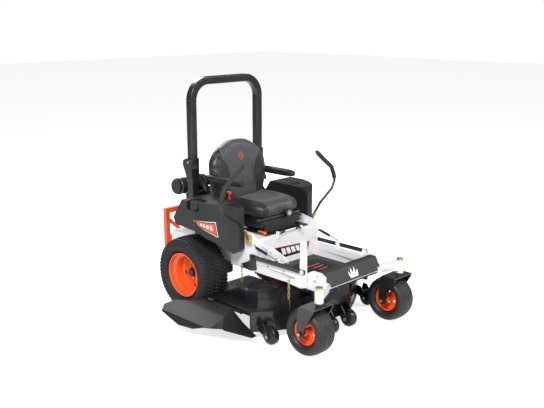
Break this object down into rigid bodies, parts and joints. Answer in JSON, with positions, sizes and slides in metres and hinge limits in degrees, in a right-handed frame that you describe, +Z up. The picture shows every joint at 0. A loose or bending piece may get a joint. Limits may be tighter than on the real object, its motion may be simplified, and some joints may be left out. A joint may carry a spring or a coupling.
{
  "type": "zero turn mower",
  "caption": "Ride-on zero turn mower with a side-discharge cutting deck under the frame, swing-out drive levers, suspension seat and folding roll bar.",
  "frame": {"origin": "middle of the footprint's bounding box, on the ground", "axes": "+Z up, the machine's front faces -Y, +X is the operator's left; Y is the longest extent"},
  "size_m": [1.5068, 2.0164, 1.786],
  "materials": {
    "white_frame": "gloss powder coat",
    "black_steel": "satin powder coat",
    "deck_black": "gloss powder coat",
    "orange_paint": "gloss powder coat",
    "zinc": "yellow zinc plate",
    "rubber": "matt",
    "black_plastic": "moulded grain",
    "cushion": "vinyl",
    "foam": "matt foam",
    "cast": "as cast",
    "red_plastic": "gloss",
    "steel": "ground"
  },
  "bodies": {
    "chassis": {"right_frame_rail": "white_frame", "left_frame_rail": "white_frame", "front_axle_beam": "white_frame", "engine_frame": "white_frame", "seat_tower": "white_frame", "foot_platform": "black_steel", "foot_mat": "rubber", "toe_panel": "black_steel", "height_scale": "white_frame", "frame_fasteners": "zinc", "right_fuel_tank": "black_plastic", "left_fuel_tank": "black_plastic", "rops_uprights": "black_steel", "rear_guard": "orange_paint", "engine_block": "cast", "engine_shroud": "black_plastic", "air_cleaner": "black_plastic", "muffler": "black_steel", "transaxles": "cast"},
    "rops_hoop": {"rops_hoop": "black_steel"},
    "seat_base": {"seat_base": "black_steel"},
    "seat_suspension": {"seat_suspension": "black_steel"},
    "seat": {"seat_pan": "black_steel", "seat_cushion": "cushion", "seat_back": "cushion"},
    "right_armrest": {"right_armrest": "cushion"},
    "left_armrest": {"left_armrest": "cushion"},
    "suspension_knob": {"suspension_knob": "black_plastic"},
    "right_lever_pivot": {"right_lever_pivot": "zinc"},
    "left_lever_pivot": {"left_lever_pivot": "zinc"},
    "right_lever": {"right_lever": "foam"},
    "left_lever": {"left_lever": "foam"},
    "right_rear_wheel": {"right_rear_rim": "orange_paint", "right_rear_tyre": "rubber"},
    "left_rear_wheel": {"left_rear_rim": "orange_paint", "left_rear_tyre": "rubber"},
    "right_caster": {"right_fork": "black_steel"},
    "left_caster": {"left_fork": "black_steel"},
    "right_front_wheel": {"right_front_rim": "orange_paint", "right_front_tyre": "rubber"},
    "left_front_wheel": {"left_front_rim": "orange_paint", "left_front_tyre": "rubber"},
    "deck": {"deck_shell": "deck_black", "belt_covers": "deck_black", "lift_chains": "zinc"},
    "chute": {"discharge_chute": "black_plastic"},
    "right_blade": {"right_blade": "steel"},
    "centre_blade": {"centre_blade": "steel"},
    "left_blade": {"left_blade": "steel"},
    "right_outer_roller": {"right_outer_roller": "black_plastic"},
    "left_outer_roller": {"left_outer_roller": "black_plastic"},
    "right_inner_roller": {"right_inner_roller": "black_plastic"},
    "left_inner_roller": {"left_inner_roller": "black_plastic"},
    "front_lift_shaft": {"front_lift_shaft": "white_frame"},
    "rear_lift_shaft": {"rear_lift_shaft": "black_steel"},
    "lift_links": {"lift_links": "black_steel"},
    "fuel_cap": {"right_fuel_cap": "black_plastic"},
    "pto_knob": {"pto_knob": "red_plastic"},
    "throttle_lever": {"throttle_lever": "red_plastic"},
    "crank_pulley": {"crank_pulley": "steel"}
  },
  "joints": [
    {"name": "right_rear_wheel_spin", "type": "hinge", "parent": "chassis", "child": "right_rear_wheel", "pos_m": [-0.33593, 0.39025, 0.292], "axis": [1, 0, 0], "continuous": true},
    {"name": "right_caster_swivel", "type": "hinge", "parent": "chassis", "child": "right_caster", "pos_m": [-0.32743, -0.91375, 0.384], "axis": [0, 0, 1], "continuous": true},
    {"name": "right_front_wheel_spin", "type": "hinge", "parent": "right_caster", "child": "right_front_wheel", "pos_m": [-0.32743, -0.83975, 0.1685], "axis": [1, 0, 0], "continuous": true},
    {"name": "right_lever_fore_aft", "type": "hinge", "parent": "chassis", "child": "right_lever_pivot", "pos_m": [-0.22143, -0.12475, 0.625], "axis": [1, 0, 0], "range_deg": [-8, 12]},
    {"name": "right_lever_in_out", "type": "hinge", "parent": "right_lever_pivot", "child": "right_lever", "pos_m": [-0.22143, -0.12475, 0.658], "axis": [0, -1, 0], "range_deg": [-24, 0]},
    {"name": "right_armrest_fold", "type": "hinge", "parent": "seat", "child": "right_armrest", "pos_m": [-0.16743, 0.39525, 1.018], "axis": [-1, 0, 0], "range_deg": [0, 80]},
    {"name": "left_rear_wheel_spin", "type": "hinge", "parent": "chassis", "child": "left_rear_wheel", "pos_m": [0.58107, 0.39025, 0.292], "axis": [1, 0, 0], "continuous": true},
    {"name": "left_caster_swivel", "type": "hinge", "parent": "chassis", "child": "left_caster", "pos_m": [0.57257, -0.91375, 0.384], "axis": [0, 0, 1], "continuous": true},
    {"name": "left_front_wheel_spin", "type": "hinge", "parent": "left_caster", "child": "left_front_wheel", "pos_m": [0.57257, -0.83975, 0.1685], "axis": [1, 0, 0], "continuous": true},
    {"name": "left_lever_fore_aft", "type": "hinge", "parent": "chassis", "child": "left_lever_pivot", "pos_m": [0.46657, -0.12475, 0.625], "axis": [1, 0, 0], "range_deg": [-8, 12]},
    {"name": "left_lever_in_out", "type": "hinge", "parent": "left_lever_pivot", "child": "left_lever", "pos_m": [0.46657, -0.12475, 0.658], "axis": [0, 1, 0], "range_deg": [-24, 0]},
    {"name": "left_armrest_fold", "type": "hinge", "parent": "seat", "child": "left_armrest", "pos_m": [0.41257, 0.39525, 1.018], "axis": [-1, 0, 0], "range_deg": [0, 80]},
    {"name": "rops_fold", "type": "hinge", "parent": "chassis", "child": "rops_hoop", "pos_m": [0.12257, 0.49825, 1.14], "axis": [-1, 0, 0], "range_deg": [0, 110]},
    {"name": "seat_tilt", "type": "hinge", "parent": "chassis", "child": "seat_base", "pos_m": [0.12257, -0.21575, 0.664], "axis": [1, 0, 0], "range_deg": [0, 45]},
    {"name": "seat_suspension_travel", "type": "slide", "parent": "seat_base", "child": "seat_suspension", "axis": [0, 0, 1], "range_m": [-0.028, 0], "stiffness_N_per_m": 16000, "springref_m": 0.03},
    {"name": "seat_fore_aft", "type": "slide", "parent": "seat_suspension", "child": "seat", "axis": [0, 1, 0], "range_m": [-0.05, 0.015]},
    {"name": "suspension_knob_turn", "type": "hinge", "parent": "seat", "child": "suspension_knob", "pos_m": [0.16257, -0.15475, 0.782], "axis": [0, 1, 0], "range_deg": [0, 300]},
    {"name": "deck_lift", "type": "slide", "parent": "chassis", "child": "deck", "axis": [0, 0, 1], "range_m": [0, 0.06]},
    {"name": "front_lift_shaft_turn", "type": "hinge", "parent": "chassis", "child": "front_lift_shaft", "pos_m": [0.12257, -0.68325, 0.441], "axis": [1, 0, 0], "range_deg": [0, 23.43]},
    {"name": "rear_lift_shaft_turn", "type": "hinge", "parent": "chassis", "child": "rear_lift_shaft", "pos_m": [0.12257, -0.17521, 0.45], "axis": [1, 0, 0], "range_deg": [0, 27.27]},
    {"name": "lift_link_travel", "type": "slide", "parent": "chassis", "child": "lift_links", "axis": [0, -1, 0], "range_m": [0, 0.0317]},
    {"name": "chute_flip", "type": "hinge", "parent": "deck", "child": "chute", "pos_m": [-0.48943, -0.16975, 0.196], "axis": [0, 1, 0], "range_deg": [0, 55]},
    {"name": "right_blade_spin", "type": "hinge", "parent": "deck", "child": "right_blade", "pos_m": [-0.25243, -0.17975, 0.092], "axis": [0, 0, 1], "continuous": true},
    {"name": "centre_blade_spin", "type": "hinge", "parent": "deck", "child": "centre_blade", "pos_m": [0.12257, -0.37975, 0.092], "axis": [0, 0, 1], "continuous": true},
    {"name": "left_blade_spin", "type": "hinge", "parent": "deck", "child": "left_blade", "pos_m": [0.49757, -0.17975, 0.092], "axis": [0, 0, 1], "continuous": true},
    {"name": "right_outer_roller_spin", "type": "hinge", "parent": "deck", "child": "right_outer_roller", "pos_m": [-0.41843, -0.55375, 0.07], "axis": [1, 0, 0], "continuous": true},
    {"name": "left_outer_roller_spin", "type": "hinge", "parent": "deck", "child": "left_outer_roller", "pos_m": [0.66357, -0.55375, 0.07], "axis": [1, 0, 0], "continuous": true},
    {"name": "right_inner_roller_spin", "type": "hinge", "parent": "deck", "child": "right_inner_roller", "pos_m": [0.02257, -0.72575, 0.07], "axis": [1, 0, 0], "continuous": true},
    {"name": "left_inner_roller_spin", "type": "hinge", "parent": "deck", "child": "left_inner_roller", "pos_m": [0.22257, -0.72575, 0.07], "axis": [1, 0, 0], "continuous": true},
    {"name": "fuel_cap_turn", "type": "hinge", "parent": "chassis", "child": "fuel_cap", "pos_m": [-0.42243, 0.22525, 0.88], "axis": [0, 0, 1], "continuous": true},
    {"name": "pto_knob_pull", "type": "slide", "parent": "chassis", "child": "pto_knob", "axis": [0, 0, 1], "range_m": [0, 0.012]},
    {"name": "throttle_lever_swing", "type": "hinge", "parent": "chassis", "child": "throttle_lever", "pos_m": [-0.24343, 0.06025, 0.917], "axis": [1, 0, 0], "range_deg": [-30, 30]},
    {"name": "crankshaft_spin", "type": "hinge", "parent": "chassis", "child": "crank_pulley", "pos_m": [0.12257, 0.59025, 0.4], "axis": [0, 0, 1], "continuous": true}
  ],
  "couplings": [
    {"joint": "left_blade_spin", "follows": "centre_blade_spin", "ratio": 1},
    {"joint": "right_blade_spin", "follows": "centre_blade_spin", "ratio": 1},
    {"joint": "front_lift_shaft_turn", "follows": "deck_lift", "rad_per_m": 6.7568},
    {"joint": "rear_lift_shaft_turn", "follows": "deck_lift", "rad_per_m": 7.874},
    {"joint": "lift_link_travel", "follows": "deck_lift", "ratio": 0.52027}
  ]
}
